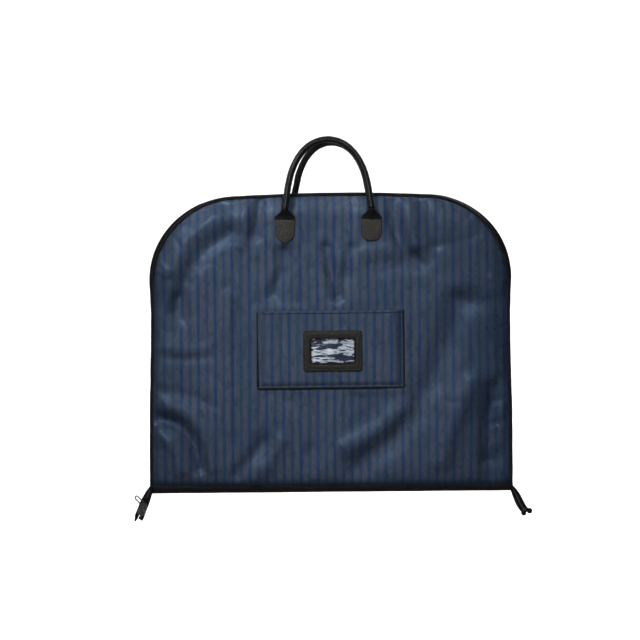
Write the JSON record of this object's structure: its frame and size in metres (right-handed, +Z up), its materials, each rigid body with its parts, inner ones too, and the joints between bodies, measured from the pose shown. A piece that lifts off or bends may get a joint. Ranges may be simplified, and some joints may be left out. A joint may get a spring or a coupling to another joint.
{
  "type": "garment bag",
  "caption": "Folding garment bag of striped cloth with a zip round three sides, two rolled leather handles, a patch pocket and a framed name window.",
  "frame": {"origin": "the carry grip: underside of the handles' arch, in the bag's middle plane", "axes": "+X to the right seen from the front, -Y to the front, +Z up"},
  "size_m": [0.6563, 0.0774, 0.6365],
  "materials": {
    "striped_cloth": "satin woven, blue stripes on slate grey",
    "lining": "satin lining",
    "black_leather": "smooth, semi-matte",
    "brown_leather": "smooth, semi-matte",
    "black_tape": "woven tape",
    "black_plastic": "moulded",
    "rope": "twisted cotton",
    "clear_film": "thin clear film",
    "nickel": "satin nickel plate"
  },
  "bodies": {
    "back_half": {"back_panel": "striped_cloth", "back_lining": "lining", "back_piping": "black_leather", "back_zip_tape": "black_tape", "back_zip_teeth": "black_plastic", "fold_spine": "striped_cloth", "rear_left_patch": "brown_leather", "rear_right_patch": "brown_leather", "rear_left_handle_tab": "black_leather", "rear_right_handle_tab": "black_leather", "garment_strap_right": "black_tape", "buckle_socket": "black_plastic", "hanger_loop": "black_tape"},
    "front_half": {"front_panel": "striped_cloth", "front_lining": "lining", "front_piping": "black_leather", "front_zip_tape": "black_tape", "front_zip_teeth": "black_plastic", "front_left_patch": "brown_leather", "front_right_patch": "brown_leather", "front_left_handle_tab": "black_leather", "front_right_handle_tab": "black_leather", "card_pocket": "striped_cloth", "name_window_film": "clear_film", "name_window_frame": "black_leather"},
    "front_handle": {"front_handle_cover": "black_leather", "front_handle_core": "rope"},
    "rear_handle": {"rear_handle_cover": "black_leather", "rear_handle_core": "rope"},
    "left_tail": {"left_zip_tail": "black_tape"},
    "right_tail": {"right_zip_tail": "black_tape", "zip_bottom_stop": "nickel"},
    "slider": {"zip_slider": "nickel"},
    "pull": {"slider_pull_ring": "nickel"},
    "buckle": {"buckle_tongue": "black_plastic", "garment_strap_left": "black_tape"},
    "hanger_clasp": {"hanger_flap": "black_tape", "hanger_snap": "nickel"}
  },
  "joints": [
    {"name": "fold", "type": "hinge", "parent": "back_half", "child": "front_half", "pos_m": [0, 0, -0.572], "axis": [1, 0, 0], "range_deg": [0, 180]},
    {"name": "front_handle_swing", "type": "hinge", "parent": "front_half", "child": "front_handle", "pos_m": [-0.003, -0.0336, -0.112], "axis": [1, 0, 0], "range_deg": [0, 180]},
    {"name": "rear_handle_swing", "type": "hinge", "parent": "back_half", "child": "rear_handle", "pos_m": [0.0015, 0.0336, -0.112], "axis": [1, 0, 0], "range_deg": [-180, 0]},
    {"name": "left_tail_sway", "type": "hinge", "parent": "back_half", "child": "left_tail", "pos_m": [-0.2987, 0, -0.5675], "axis": [0, 1, 0], "range_deg": [0, 50]},
    {"name": "right_tail_sway", "type": "hinge", "parent": "back_half", "child": "right_tail", "pos_m": [0.2995, 0, -0.5675], "axis": [0, -1, 0], "range_deg": [0, 50]},
    {"name": "slider_travel", "type": "slide", "parent": "left_tail", "child": "slider", "axis": [0.3697, 0, 0.9291], "range_m": [0, 0.007]},
    {"name": "pull_swing", "type": "hinge", "parent": "slider", "child": "pull", "pos_m": [-0.31013, -0.0052, -0.59403], "axis": [0.3697, 0, 0.9291], "range_deg": [0, 150]},
    {"name": "buckle_release", "type": "slide", "parent": "back_half", "child": "buckle", "axis": [-1, 0, 0], "range_m": [0, 0.019]},
    {"name": "hanger_flap_swing", "type": "hinge", "parent": "back_half", "child": "hanger_clasp", "pos_m": [0, 0.0084, -0.1775], "axis": [1, 0, 0], "range_deg": [0, 40]}
  ]
}
